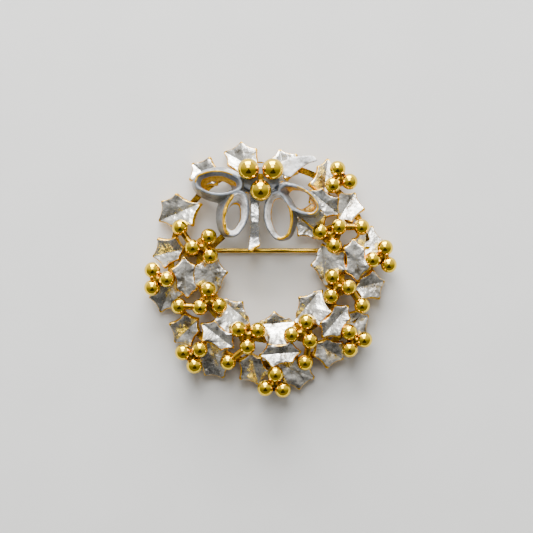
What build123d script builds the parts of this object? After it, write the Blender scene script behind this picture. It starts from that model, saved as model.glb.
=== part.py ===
from build123d import *
from math import atan2, cos, degrees, hypot, radians, sin, tan
import os

# A round holly wreath brooch. Millimetres, +Z towards the viewer, back of the brooch on Z = 0,
# origin at the middle of the wreath, +Y towards the bow.

# Twig rings that carry the leaves, and the heights of their middles. The outer one is lower
# and sits a little towards the bow. The inner one is open behind the bow, and it reaches
# further outwards than a twig, as the ground behind the gaps between the clusters.
inner_ring_radius = 12.35
outer_ring_radius = 19.2
outer_ring_shift = 0.77
twig_width = 1.2
twig_depth = 1.2
ring_height = 3.2
outer_ring_height = 2.0
inner_ring_start = 161.6
inner_ring_sweep = 227.7
inner_ring_out = 2.0

# The wreath repeats one sprig eight times, counted against the clock from the left. The
# inner ring carries the first five, and the bow hides the upper leaves of the last two.
sprig_count = 8
first_sprig_angle = 184.8
ring_sprigs = 5

# Holly leaves: thickness of the blade, how steeply each half rises from the fold, how far the
# edge hollows in between two spines, as a share of their distance, and how blunt a spine is.
leaf_thickness = 0.9
leaf_fold = 16.0
edge_hollow = 0.14
spine_round = 0.3

# Lengths and widths of the four leaves of a sprig.
top_leaf_length = 8.5
top_leaf_width = 4.75
inner_leaf_length = 9.65
inner_leaf_width = 6.15
rim_leaf_length = 6.9
rim_leaf_width = 6.25
low_leaf_length = 9.6
low_leaf_width = 7.0

# Where the leaves sit: outwards and sideways from the ring that carries each, and above the
# inner ring. Headings, pitches and rolls turn a leaf in its sprig, in degrees.
top_leaf_out = 4.05
top_leaf_side = 0.3
top_leaf_rise = 2.2
inner_leaf_out = -1.75
inner_leaf_side = -0.5
inner_leaf_rise = 0.4
inner_leaf_roll = -8.0
rim_leaf_out = -0.2
rim_leaf_side = -4.7
rim_leaf_rise = -0.1
rim_leaf_heading = -81.6
rim_leaf_pitch = -18.0
low_leaf_out = 0.8
low_leaf_side = 3.0
low_leaf_rise = -0.5
low_leaf_heading = -27.1
low_leaf_pitch = -16.0
low_leaf_roll = 14.0

# Berries: the small balls, the stalk and neck that hold them, and their seats on the wreath.
berry_diameter = 3.1
berry_waist = 0.1
cluster_radius = 2.15
rim_cluster_radius = 1.95
stalk_radius = 0.8
neck_radius = 0.6
inner_seat_radius = 1.9
rim_seat_radius = 1.4
seat_clearance = 0.05
inner_cluster_out = 1.05
inner_cluster_swing = 22.8
inner_cluster_rise = 2.8
inner_seat_rise = 1.0
rim_cluster_out = 2.7
rim_cluster_rise = 1.8
rim_seat_rise = 0.8
single_berry_swing = 17.0
single_berry_rise = 1.9

# The bow: its width over the loops, the knot, the ribbon and its seat on the outer ring.
bow_width = 24.6
knot_x = -2.0
knot_in = 2.8
knot_length = 9.2
knot_breadth = 6.4
bow_seat_radius = 1.4
bow_seat_rise = 1.1
ribbon_thickness = 0.55
ribbon_depth = 3.7
knot_depth = 3.2
knot_taper = 0.8
loop_gap = 0.3
tail_thickness = 0.8
tail_drop = 1.2
bow_berry_diameter = 4.14
bow_cluster_radius = 2.7
bow_cluster_x = 0.1
bow_cluster_y = 0.5
bow_cluster_turn = 30.0
bow_berry_rise = 1.5

# The pin on the back: the stem, the hinge block with its rivet, and the catch. The block and
# the catch sit between the two rings, this much inwards of the middle.
pin_y = 3.5
pin_height = 1.1
pin_radius = 0.45
fitting_in = 0.575
catch_x = (inner_ring_radius + outer_ring_radius) / 2 - fitting_in
hinge_x = -catch_x
pad_width = 1.6
pad_thickness = 0.8
pad_bottom = 2.3
ear_thickness = 0.6
ear_clearance = 0.1
ear_round = 0.7
block_length = 3.0
rivet_radius = 0.4
rivet_clearance = 0.05
eye_radius = 0.75
catch_length = 2.0
catch_clearance = 0.15
point_length = 2.5
point_radius = 0.12

# Outlines of the leaves, counter-clockwise: (across, along) as shares of width and length.
# The first point is the tip.
leaf_outlines = {
    "top": [(0.0, 0.5), (-0.44, 0.27), (-0.44, -0.24), (0.0, -0.5), (0.56, -0.2), (0.4, 0.25)],
    "inner": [
        (0.0, 0.5), (-0.13, 0.34), (-0.42, 0.05), (-0.13, -0.22),
        (0.0, -0.5), (0.8, -0.12), (0.8, 0.28),
    ],
    "rim": [(0.0, 0.5), (-0.47, 0.18), (-0.29, -0.28), (0.0, -0.5), (0.41, -0.38), (0.53, 0.17)],
    "low": [(0.0, 0.5), (-0.27, 0.24), (-0.54, -0.19), (0.0, -0.5), (0.48, -0.09), (0.46, 0.25)],
}
leaf_sizes = {
    "top": (top_leaf_length, top_leaf_width),
    "inner": (inner_leaf_length, inner_leaf_width),
    "rim": (rim_leaf_length, rim_leaf_width),
    "low": (low_leaf_length, low_leaf_width),
}
# Distance from the origin, sideways offset and height of each leaf's middle, and its turns.
leaf_seats = {
    "top": (inner_ring_radius + top_leaf_out, top_leaf_side, ring_height + top_leaf_rise),
    "inner": (inner_ring_radius + inner_leaf_out, inner_leaf_side, ring_height + inner_leaf_rise),
    "rim": (outer_ring_radius + rim_leaf_out, rim_leaf_side, ring_height + rim_leaf_rise),
    "low": (outer_ring_radius + low_leaf_out, low_leaf_side, ring_height + low_leaf_rise),
}
leaf_turns = {
    "top": (0, 0, 0),
    "inner": (0, 0, inner_leaf_roll),
    "rim": (rim_leaf_heading, rim_leaf_pitch, 0),
    "low": (low_leaf_heading, low_leaf_pitch, low_leaf_roll),
}

# The leaves of the wreath: sprig, kind, then how each differs from its sprig's pattern:
# outwards, sideways and upwards as shares of the leaf's length, turned in degrees, and its
# size as a share of the pattern's.
leaf_rows = [
    (0, "top", 0, 0, 0, 0, 1.06),
    (0, "inner", 0, 0, 0, 0, 1.0),
    (0, "rim", 0.06, 0, 0, 0, 1.04),
    (0, "low", 0, 0, 0, 0, 1.0),
    (1, "top", 0, 0.02, 0, 3, 1.04),
    (1, "inner", 0, 0, 0, 0, 1.0),
    (1, "rim", 0.1, 0, 0, -14, 1.06),
    (1, "low", 0, 0, 0, 0, 1.02),
    (2, "top", 0, 0.02, 0, 0, 1.06),
    (2, "inner", 0, 0, 0, 0, 1.0),
    (2, "rim", 0, 0, 0, 0, 1.04),
    (2, "low", -0.02, 0, 0, 0, 1.02),
    (3, "top", -0.04, 0, 0, 0, 1.06),
    (3, "inner", -0.06, -0.07, 0, 0, 1.0),
    (3, "rim", 0, 0, 0, 0, 1.03),
    (3, "low", -0.16, -0.13, 0, 0, 1.0),
    (4, "top", 0, 0, 0, 0, 1.1),
    (4, "inner", -0.05, 0, 0, 0, 1.0),
    (4, "rim", -0.02, 0, 0, 0, 1.0),
    (4, "low", -0.17, 0, 0, 0, 1.0),
    (5, "top", 0, 0, -0.06, 0, 1.0),
    (5, "inner", 0, 0, -0.04, 0, 1.0),
    (5, "rim", -0.03, 0.17, 0, 0, 1.04),
    (5, "low", 0, 0, 0, -28, 1.0),
    (6, "rim", 0.13, 0.09, -0.05, 0, 1.0),
    (6, "low", 0.08, 0.04, 0, -6, 1.06),
    (7, "rim", 0.37, -0.14, -0.05, -10, 1.04),
    (7, "low", 0.04, 0, 0, 0, 1.07),
]

# Inner clusters: sprig, outwards as a share of the berry's diameter, swing and turn in
# degrees, then the single berry's outward share and swing.
inner_cluster_rows = [
    (7, 0.03, -1.0, 44, -0.02, -1.3),
    (0, -0.04, 0.0, 30, -0.06, 0.4),
    (1, 0.03, -1.3, 37, 0.16, -1.3),
    (2, 0.09, -0.9, 36, 0.0, -1.6),
    (3, -0.04, 2.4, 37, -0.08, 1.3),
    (4, -0.02, 1.7, 40, 0.02, 2.8),
]
# Rim clusters: sprig, outwards as a share of the berry's diameter, swing and turn in degrees.
rim_cluster_rows = [
    (0, 0.0, 0.4, 54),
    (1, 0.19, -1.7, 51),
    (2, 0.09, -2.8, 50),
    (3, -0.22, -0.3, 43),
    (4, -0.1, 1.0, 68),
    (5, 0.0, 2.6, 53),
]
rim_cluster_lean = 15.0

# Outline of a bow loop, an egg with its narrow end at the knot: (across, along) as shares of
# its width and length. The points are taken two by two as arcs.
egg = [
    (0.3, 0.38), (0.0, 0.5), (-0.3, 0.38), (-0.46, 0.05),
    (-0.27, -0.37), (0.0, -0.47), (0.27, -0.37), (0.46, 0.05),
]
# Headings of the loops in degrees, then the middle, length and width of a loop's outer edge
# at the back, of its outer edge at the front and of its hole at the back. Lengths are shares
# of the bow's width, counted from the knot.
loop_headings = {
    "upper_left": 176,
    "upper_right": -32,
    "lower_left": -103,
    "lower_right": -82,
}
loop_backs = {
    "upper_left": (-0.305, -0.045, 0.453, 0.31),
    "upper_right": (0.294, -0.158, 0.4, 0.245),
    "lower_left": (-0.215, -0.256, 0.406, 0.28),
    "lower_right": (0.16, -0.275, 0.42, 0.29),
}
loop_fronts = {
    "upper_left": (-0.32, -0.029, 0.39, 0.22),
    "upper_right": (0.295, -0.155, 0.37, 0.21),
    "lower_left": (-0.185, -0.265, 0.37, 0.21),
    "lower_right": (0.14, -0.28, 0.39, 0.242),
}
loop_holes = {
    "upper_left": (-0.32, -0.064, 0.2, 0.1),
    "upper_right": (0.322, -0.161, 0.22, 0.14),
    "lower_left": (-0.211, -0.29, 0.2, 0.117),
    "lower_right": (0.164, -0.295, 0.3, 0.156),
}
# Outlines of the tails, from the knot, as shares of the bow's width. The right tail's first
# and last three points are its curved edges.
right_tail_edge = [
    (0.06, 0.06), (0.25, 0.166), (0.42, 0.182),
    (0.445, 0.143), (0.31, 0.08), (0.24, 0.015),
]
hanging_tail_edge = [
    (-0.075, -0.06), (-0.07, -0.34), (-0.094, -0.552), (-0.0625, -0.576),
    (-0.045, -0.545), (0.0, -0.521), (-0.008, -0.34), (-0.008, -0.06),
]
# Side of the hanging tail: (along, up from the loops' back) as shares of the bow's width.
hanging_tail_side = [(-0.04, 0.1), (-0.34, 0.09), (-0.6, 0.03)]
# Where the branches from the inner ring end under the loops, left and right, from the knot.
branch_ends = [(-0.289, -0.442), (0.341, -0.296)]


def sprig_plane(sprig):
    """Turns a sprig's own frame, +X outwards, to its place on the wreath."""
    return Location((0, 0, 0), (0, 0, first_sprig_angle + sprig * 360 / sprig_count))


def ring_reach(angle):
    """Distance from the origin to the outer ring at an angle, which its shift changes."""
    across = outer_ring_shift * cos(radians(angle))
    return outer_ring_shift * sin(radians(angle)) + (outer_ring_radius**2 - across**2) ** 0.5


def leaf_solid(kind, size):
    """One holly leaf along +Y, folded, with the fold of its upper face on Z = 0."""
    length, width = (size * measure for measure in leaf_sizes[kind])
    points = [(across * width, along * length) for across, along in leaf_outlines[kind]]
    rise = width * tan(radians(leaf_fold))
    with BuildPart() as leaf:
        with BuildSketch(Plane.XY.offset(-leaf_thickness)) as outline:
            with BuildLine():
                for start, end in zip(points, points[1:] + points[:1]):
                    chord = hypot(end[0] - start[0], end[1] - start[1])
                    SagittaArc(start, end, edge_hollow * chord)
            make_face()
            fillet(outline.vertices(), spine_round)
        extrude(amount=leaf_thickness + rise)
        with BuildSketch(Plane.XZ.offset(-length)):
            with BuildLine():
                Polyline(
                    (-width, rise),
                    (0, 0),
                    (width, rise),
                    (width, rise - leaf_thickness),
                    (0, -leaf_thickness),
                    (-width, rise - leaf_thickness),
                    close=True,
                )
            make_face()
        extrude(amount=2 * length, mode=Mode.INTERSECT)
    return leaf.part


def leaf_location(sprig, kind, out, side, up, turn, size):
    """Where a row of the leaf table puts its leaf."""
    length = size * leaf_sizes[kind][0]
    seat_out, seat_side, height = leaf_seats[kind]
    heading, pitch, roll = leaf_turns[kind]
    middle = (seat_out + out * length, seat_side + side * length, height + up * length)
    tilt = Location((0, 0, 0), (pitch, 0, 0)) * Location((0, 0, 0), (0, roll, 0))
    return sprig_plane(sprig) * Location(middle, (0, 0, heading + turn)) * tilt


def berry_solid(ball):
    """One cast berry: two half balls with a short waist between them."""
    with BuildPart() as berry:
        with BuildSketch(Plane.XZ):
            with BuildLine():
                Line((0, -ball - berry_waist / 2), (0, ball + berry_waist / 2))
                RadiusArc((0, ball + berry_waist / 2), (ball, berry_waist / 2), ball)
                Line((ball, berry_waist / 2), (ball, -berry_waist / 2))
                RadiusArc((ball, -berry_waist / 2), (0, -ball - berry_waist / 2), ball)
            make_face()
        revolve(axis=Axis.Z)
    return berry.part


def berry_cluster(where, ball, spread, lean, turn, seat, grown, single=None):
    """Three berries round a stalk, grown by a clearance where they cut their own seat."""
    berry = berry_solid(ball + grown)
    with BuildPart() as cluster:
        for spoke in range(3):
            angle = radians(turn + spoke * 120)
            x = spread * cos(angle)
            with Locations((x * cos(radians(lean)), spread * sin(angle), -x * sin(radians(lean)))):
                add(berry)
        foot = seat - where.position.Z
        with Locations((0, 0, foot)):
            Cylinder(stalk_radius + grown, -foot, align=(Align.CENTER, Align.CENTER, Align.MIN))
        if single:
            near = Vector(spread * cos(radians(turn)), spread * sin(radians(turn)), 0)
            neck = Vector(*single) - near
            with Locations(single):
                add(berry)
            with BuildSketch(Plane(origin=near, z_dir=neck)):
                Circle(neck_radius + grown)
            extrude(amount=neck.length)
    return cluster.part.moved(where)


def inner_cluster(row, grown):
    """An inner cluster with its single berry further out."""
    sprig, out, swing, turn, single_out, single_swing = row
    radius = inner_ring_radius + inner_cluster_out + out * berry_diameter
    angle = inner_cluster_swing + swing
    height = ring_height + inner_cluster_rise
    where = (
        sprig_plane(sprig)
        * Location((0, 0, 0), (0, 0, angle))
        * Location((radius, 0, height), (0, 0, 0))
    )
    reach = outer_ring_radius + single_out * berry_diameter
    apart = radians(single_berry_swing + single_swing - angle)
    single = (reach * cos(apart) - radius, reach * sin(apart), single_berry_rise - inner_cluster_rise)
    seat = ring_height + inner_seat_rise
    return berry_cluster(
        where, berry_diameter / 2, cluster_radius, 0, turn - angle, seat, grown, single
    )


def rim_cluster(row, grown):
    """A cluster at the rim, which leans outwards."""
    sprig, out, swing, turn = row
    radius = outer_ring_radius + rim_cluster_out + out * berry_diameter
    where = (
        sprig_plane(sprig)
        * Location((0, 0, 0), (0, 0, swing))
        * Location((radius, 0, ring_height + rim_cluster_rise), (0, 0, 0))
    )
    seat = ring_height + rim_seat_rise
    return berry_cluster(
        where, berry_diameter / 2, rim_cluster_radius, rim_cluster_lean, turn - swing, seat, grown
    )


knot_y = outer_ring_shift + outer_ring_radius - knot_in
bow_seat = ring_height + bow_seat_rise
loop_back = bow_seat + loop_gap
loop_front = loop_back + ribbon_depth


def egg_arcs(heading, middle, grown):
    """The arcs of a loop's outline, three points each, grown or shrunk all round."""
    x, y, length, width = (share * bow_width for share in middle)
    turn = radians(heading - 90)
    points = []
    for across, along in egg:
        a = across * (width + 2 * grown)
        b = along * (length + 2 * grown)
        points.append((
            knot_x + x + a * cos(turn) - b * sin(turn),
            knot_y + y + a * sin(turn) + b * cos(turn),
        ))
    return [(points[i], points[i + 1], points[(i + 2) % len(egg)]) for i in range(0, len(egg), 2)]


def loop_body(name, grown):
    """A loop's outer form, from its wide back to its rim."""
    heading = loop_headings[name]
    with BuildPart() as body:
        with BuildSketch(Plane.XY.offset(loop_back - grown)):
            with BuildLine():
                for arc in egg_arcs(heading, loop_backs[name], grown):
                    ThreePointArc(*arc)
            make_face()
        with BuildSketch(Plane.XY.offset(loop_front + grown)):
            with BuildLine():
                for arc in egg_arcs(heading, loop_fronts[name], grown):
                    ThreePointArc(*arc)
            make_face()
        loft(ruled=True)
    return body.part


def loop_hole(name):
    """The hole through a loop, from its narrow back to the inner edge of its rim."""
    heading = loop_headings[name]
    with BuildPart() as inside:
        with BuildSketch(Plane.XY.offset(loop_back)):
            with BuildLine():
                for arc in egg_arcs(heading, loop_holes[name], 0):
                    ThreePointArc(*arc)
            make_face()
        with BuildSketch(Plane.XY.offset(loop_front)):
            with BuildLine():
                for arc in egg_arcs(heading, loop_fronts[name], -ribbon_thickness):
                    ThreePointArc(*arc)
            make_face()
        loft(ruled=True)
    return inside.part


def bow_cluster(grown):
    """The three large berries on the knot."""
    top = bow_seat + knot_depth
    where = Location((knot_x + bow_cluster_x, knot_y + bow_cluster_y, top + bow_berry_rise))
    return berry_cluster(
        where, bow_berry_diameter / 2, bow_cluster_radius, 0, bow_cluster_turn, top, grown
    )


def knot_body(grown):
    """The knot, narrower at the front, on its seat."""
    with BuildPart() as knot:
        with BuildSketch(Plane((knot_x, knot_y, bow_seat))):
            Ellipse(knot_length / 2 + grown, knot_breadth / 2 + grown)
        with BuildSketch(Plane((knot_x, knot_y, bow_seat + knot_depth))):
            Ellipse(knot_taper * knot_length / 2 + grown, knot_taper * knot_breadth / 2 + grown)
        loft(ruled=True)
    return knot.part


def hanging_tail():
    """The tail that hangs from the knot towards the middle, with its notched end."""
    edge = [(knot_x + x * bow_width, knot_y + y * bow_width) for x, y in hanging_tail_edge]
    side = [(knot_y + y * bow_width, loop_back + z * bow_width) for y, z in hanging_tail_side]
    under = [(y, z - tail_thickness) for y, z in reversed(side)]
    with BuildPart() as tail:
        with BuildSketch(Plane.XY.offset(loop_back - tail_thickness)):
            with BuildLine():
                Polyline(*edge, close=True)
            make_face()
        extrude(amount=ribbon_depth + tail_thickness)
        with BuildSketch(Plane.YZ.offset(knot_x - bow_width / 2)):
            with BuildLine():
                Polyline(*side, *under, close=True)
            make_face()
        extrude(amount=bow_width, mode=Mode.INTERSECT)
    return tail.part


# The cast ring of leaves, one solid. The berries and the bow have their seats cut into it.
placed_leaves = [leaf_solid(row[1], row[-1]).moved(leaf_location(*row)) for row in leaf_rows]

inner_bottom = ring_height - twig_depth / 2
outer_bottom = outer_ring_height - twig_depth / 2
twig_bottom = (inner_bottom + outer_bottom) / 2
rim_seat = ring_height + rim_seat_rise
inner_seat = ring_height + inner_seat_rise
upright = (Align.CENTER, Align.CENTER, Align.MIN)

with BuildPart() as holly_wreath:
    with BuildSketch(Plane.XY.offset(outer_bottom)):
        with Locations((0, outer_ring_shift)):
            Circle(outer_ring_radius + twig_width / 2)
            Circle(outer_ring_radius - twig_width / 2, mode=Mode.SUBTRACT)
    extrude(amount=twig_depth)
    with BuildSketch(Plane.XY.offset(inner_bottom)):
        with BuildLine():
            inner_edge = CenterArc(
                (0, 0), inner_ring_radius - twig_width / 2, inner_ring_start, inner_ring_sweep
            )
            outer_edge = CenterArc(
                (0, 0), inner_ring_radius + inner_ring_out, inner_ring_start, inner_ring_sweep
            )
            Line(inner_edge @ 0, outer_edge @ 0)
            Line(inner_edge @ 1, outer_edge @ 1)
        make_face()
    extrude(amount=twig_depth)
    # A twig runs out to each cluster at the rim, from the inner ring where there is one.
    for sprig, out, swing, _ in rim_cluster_rows:
        angle = first_sprig_angle + sprig * 360 / sprig_count
        start = inner_ring_radius if sprig < ring_sprigs else ring_reach(angle)
        end = outer_ring_radius + rim_cluster_out + out * berry_diameter
        turned = sprig_plane(sprig) * Location((0, 0, 0), (0, 0, swing))
        with Locations(turned * Location(((start + end) / 2, 0, twig_bottom))):
            Box(end - start, twig_width, twig_depth, align=upright)
        with Locations(turned * Location((end, 0, twig_bottom))):
            Cylinder(rim_seat_radius, rim_seat - twig_bottom, align=upright)
    for sprig, out, swing, *_ in inner_cluster_rows:
        radius = inner_ring_radius + inner_cluster_out + out * berry_diameter
        turned = sprig_plane(sprig) * Location((0, 0, 0), (0, 0, inner_cluster_swing + swing))
        with Locations(turned * Location((radius, 0, inner_bottom))):
            Cylinder(inner_seat_radius, inner_seat - inner_bottom, align=upright)
    # A branch from each end of the inner ring to under a loop of the bow.
    for ring_end, (x, y) in zip((0, inner_ring_sweep), branch_ends):
        start = Vector(inner_ring_radius, 0, inner_bottom).rotate(
            Axis.Z, inner_ring_start + ring_end
        )
        way = Vector(knot_x + x * bow_width, knot_y + y * bow_width, inner_bottom) - start
        with Locations(Location(start, (0, 0, degrees(atan2(way.Y, way.X))))):
            Box(
                way.length,
                twig_width,
                twig_depth,
                align=(Align.MIN, Align.CENTER, Align.MIN),
            )
    # A short stalk under each rim leaf joins it to the outer ring.
    for row in leaf_rows:
        if row[1] == "rim":
            spot = leaf_location(*row).position
            angle = degrees(atan2(spot.Y, spot.X))
            near = ring_reach(angle)
            far = hypot(spot.X, spot.Y)
            with Locations(Rotation(0, 0, angle) * Location(((near + far) / 2, 0, outer_bottom))):
                Box(
                    abs(far - near) + twig_width,
                    twig_width,
                    spot.Z - leaf_thickness / 2 - outer_bottom,
                    align=upright,
                )
    # Posts under the top leaves, the seat of the bow and the pads of the pin.
    for sprig in range(ring_sprigs + 1):
        with Locations(sprig_plane(sprig) * Location(leaf_seats["top"][:2] + (ring_height,))):
            Cylinder(stalk_radius, top_leaf_rise - leaf_thickness / 2, align=upright)
    seat_y = outer_ring_shift + outer_ring_radius - bow_seat_radius / 2
    with Locations((knot_x, seat_y, outer_bottom)):
        Cylinder(bow_seat_radius, bow_seat - outer_bottom, align=upright)
    for side in (-1, 1):
        middle = side * (inner_ring_radius + outer_ring_radius) / 2
        with Locations((middle, pin_y, pad_bottom)):
            Box(outer_ring_radius - inner_ring_radius, pad_width, pad_thickness, align=upright)
    add(placed_leaves)
    add([inner_cluster(row, seat_clearance) for row in inner_cluster_rows], mode=Mode.SUBTRACT)
    add([rim_cluster(row, seat_clearance) for row in rim_cluster_rows], mode=Mode.SUBTRACT)
    add([loop_body(name, seat_clearance) for name in loop_headings], mode=Mode.SUBTRACT)
    add(knot_body(seat_clearance), mode=Mode.SUBTRACT)
holly_wreath.part.label = "holly_wreath"

# The berries, one solid to a cluster.
clusters = {}
for number, row in enumerate(inner_cluster_rows, 1):
    clusters[f"inner_berries_{number}"] = inner_cluster(row, 0)
for number, row in enumerate(rim_cluster_rows, 1):
    clusters[f"rim_berries_{number}"] = rim_cluster(row, 0)
clusters["bow_berries"] = bow_cluster(0)

# The ribbon bow, one solid.
with BuildPart() as ribbon_bow:
    for name in loop_headings:
        add(loop_body(name, 0))
        add(loop_hole(name), mode=Mode.SUBTRACT)
    add(knot_body(0))
    with BuildSketch(Plane.XY.offset(loop_front - tail_drop)):
        edge = [(knot_x + x * bow_width, knot_y + y * bow_width) for x, y in right_tail_edge]
        with BuildLine():
            ThreePointArc(edge[0], edge[1], edge[2])
            Line(edge[2], edge[3])
            ThreePointArc(edge[3], edge[4], edge[5])
            Line(edge[5], edge[0])
        make_face()
    extrude(amount=tail_thickness)
    add(hanging_tail())
    add(bow_cluster(seat_clearance), mode=Mode.SUBTRACT)
ribbon_bow.part.label = "ribbon_bow"

# The hinge block, with two ears that stand on the surface.
block_width = 2 * (pin_radius + ear_clearance + ear_thickness)
with BuildPart() as pin_hinge:
    with Locations((hinge_x, pin_y, 0)):
        Box(block_length, block_width, pad_bottom, align=upright)
        Box(
            block_length,
            2 * (pin_radius + ear_clearance),
            pin_height + eye_radius + ear_clearance,
            align=upright,
            mode=Mode.SUBTRACT,
        )
    fillet(pin_hinge.edges().filter_by(Axis.Y).group_by(Axis.Z)[0], ear_round)
    with Locations((hinge_x, pin_y, pin_height)):
        Cylinder(
            rivet_radius + rivet_clearance, block_width, rotation=(90, 0, 0), mode=Mode.SUBTRACT
        )
pin_hinge.part.label = "pin_hinge"

with BuildPart() as hinge_rivet:
    with Locations((hinge_x, pin_y, pin_height)):
        Cylinder(rivet_radius, block_width, rotation=(90, 0, 0))
hinge_rivet.part.label = "hinge_rivet"

# The stem: a flat eye round the rivet, a wire and a point.
with BuildPart() as pin_stem:
    with Locations((hinge_x, pin_y, pin_height)):
        Cylinder(eye_radius, 2 * pin_radius, rotation=(90, 0, 0))
    with BuildSketch(Plane.YZ.offset(hinge_x)):
        with Locations((pin_y, pin_height)):
            Circle(pin_radius)
    extrude(amount=catch_x - hinge_x)
    with Locations((catch_x + point_length / 2, pin_y, pin_height)):
        Cone(pin_radius, point_radius, point_length, rotation=(0, 90, 0))
    with Locations((hinge_x, pin_y, pin_height)):
        Cylinder(
            rivet_radius + rivet_clearance, 2 * eye_radius, rotation=(90, 0, 0), mode=Mode.SUBTRACT
        )
pin_stem.part.label = "pin_stem"

# The catch, open to the back, where the stem drops in.
with BuildPart() as pin_catch:
    with Locations((catch_x, pin_y, 0)):
        Box(
            catch_length,
            2 * (pin_radius + catch_clearance + ear_thickness),
            pad_bottom,
            align=upright,
        )
        Box(
            catch_length,
            2 * (pin_radius + catch_clearance),
            pin_height + pin_radius + catch_clearance,
            align=upright,
            mode=Mode.SUBTRACT,
        )
pin_catch.part.label = "pin_catch"

os.makedirs("parts", exist_ok=True)
export_step(holly_wreath.part, "parts/holly_wreath.step")
export_step(ribbon_bow.part, "parts/ribbon_bow.step")
export_step(pin_hinge.part, "parts/pin_hinge.step")
export_step(hinge_rivet.part, "parts/hinge_rivet.step")
export_step(pin_stem.part, "parts/pin_stem.step")
export_step(pin_catch.part, "parts/pin_catch.step")
for name, cluster in clusters.items():
    cluster.label = name
    export_step(cluster, f"parts/{name}.step")
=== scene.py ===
# %% [markdown]
# # A holly wreath brooch
# The real brooch is one metal casting: folded holly leaves on a ring of twigs, round berries
# and a ribbon bow. The whole of it is plated gold, and the faces of the leaves and the bow are
# silver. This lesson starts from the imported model, keeps its twigs and pin fittings, and gives
# it leaves with hammered faces, polished berries and a soft-edged bow.

# %% Load the frame
from math import cos, pi, radians, sin, tan

import bmesh
import bpy
import numpy as np
from mathutils import Matrix, Vector, noise


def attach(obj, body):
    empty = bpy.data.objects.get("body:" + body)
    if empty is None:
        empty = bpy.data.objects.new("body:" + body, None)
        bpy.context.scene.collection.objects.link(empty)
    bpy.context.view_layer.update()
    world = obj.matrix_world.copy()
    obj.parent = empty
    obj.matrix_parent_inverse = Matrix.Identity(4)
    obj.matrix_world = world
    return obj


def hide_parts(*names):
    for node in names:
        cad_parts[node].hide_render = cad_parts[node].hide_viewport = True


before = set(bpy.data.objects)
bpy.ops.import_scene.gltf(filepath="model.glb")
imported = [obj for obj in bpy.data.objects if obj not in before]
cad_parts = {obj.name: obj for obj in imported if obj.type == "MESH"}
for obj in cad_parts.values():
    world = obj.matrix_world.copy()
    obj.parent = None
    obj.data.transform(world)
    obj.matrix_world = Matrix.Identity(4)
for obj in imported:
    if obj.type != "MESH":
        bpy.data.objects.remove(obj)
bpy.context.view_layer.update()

# %% [markdown]
# ## Camera
# The photograph looks straight down on the brooch. A short lens near it would show the sides of
# the outer berries, and an orthographic camera would be too flat, because no photograph is
# quite without perspective. A long lens far away keeps the berries at the edge as round as
# those in the middle. The picture is square, so one number, the width of what it shows,
# settles the lens.

# %% Camera
MM = 0.001
photo_pixels = 533
pixels_per_mm = 5.2
# The point of the brooch at the middle of the photograph, and the heights, are in mm.
photo_middle = (-0.77, 0.43)
camera_height = 620.0
mid_height = 5.0
sensor_width = 36.0
nearest_seen = 10.0


def new_object(name, data):
    """An object that holds this data, at the origin and in the scene."""
    thing = bpy.data.objects.new(name, data)
    bpy.context.scene.collection.objects.link(thing)
    return thing


shown_mm = photo_pixels / pixels_per_mm
camera_data = bpy.data.cameras.new("camera")
camera_data.sensor_width = sensor_width
camera_data.lens = sensor_width * (camera_height - mid_height) / shown_mm
camera_data.clip_start = nearest_seen * MM
camera = new_object("camera", camera_data)
camera.location = (photo_middle[0] * MM, photo_middle[1] * MM, camera_height * MM)
bpy.context.scene.camera = camera
print("lens", round(camera_data.lens), "mm shows", round(shown_mm, 1), "mm")

# %% [markdown]
# ## Materials
# Every finish here is a metal, so what it shows is mostly its surroundings. What makes a metal
# look real is that its roughness and its surface are never the same all over. A painted image
# could give that, but it would need a map on every piece. Noise in Object coordinates needs
# none, and it stays with the piece when the piece moves.

# %% Start a material
def set_inputs(tree, node, inputs):
    """Gives a node its inputs, each a plain value or the output of another node."""
    for socket, value in inputs.items():
        if isinstance(value, bpy.types.NodeSocket):
            tree.links.new(value, node.inputs[socket])
        else:
            node.inputs[socket].default_value = value


def add_node(tree, kind, inputs, **settings):
    """Adds a node with these settings and inputs, and gives back its outputs."""
    node = tree.nodes.new(kind)
    for name, value in settings.items():
        setattr(node, name, value)
    set_inputs(tree, node, inputs)
    return node.outputs


def new_material(name):
    """A material with its node tree, its shader and the Object coordinates."""
    material = bpy.data.materials.new(name)
    material.use_nodes = True
    tree = material.node_tree
    place = add_node(tree, "ShaderNodeTexCoord", {})["Object"]
    return material, tree, tree.nodes["Principled BSDF"], place


print("materials so far:", [material.name for material in bpy.data.materials])

# %% [markdown]
# ## From noise to a surface
# Worn metal differs in tone, in shine and in height, and the three go together: a pit is dark,
# dull and low. Each could have a texture of its own. Here they share noise, which a few small
# helpers stretch, add up, turn into a colour or raise into bumps, so that they agree.

# %% Helpers between noise and shader
# The places of the colour sockets of the mix node, which has others with the same names.
mix_share, mix_first, mix_second, mix_result = 0, 6, 7, 2


def noise_node(tree, place, size_mm, detail=3.0, stretch=(1, 1, 1)):
    """Noise whose bumps are about size_mm across."""
    spot = add_node(tree, "ShaderNodeMapping", {"Vector": place, "Scale": stretch})["Vector"]
    inputs = {"Vector": spot, "Scale": 1 / (size_mm * MM), "Detail": detail}
    return add_node(tree, "ShaderNodeTexNoise", inputs)["Fac"]


def spread(tree, value, low, high, to_low=0.0, to_high=1.0):
    """Stretches the part of a value between low and high."""
    limits = {"From Min": low, "From Max": high, "To Min": to_low, "To Max": to_high}
    return add_node(tree, "ShaderNodeMapRange", {"Value": value, **limits})["Result"]


def maths(tree, operation, first, second):
    """One sum on two values, either of which may be a number."""
    return add_node(tree, "ShaderNodeMath", {0: first, 1: second}, operation=operation)["Value"]


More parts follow.
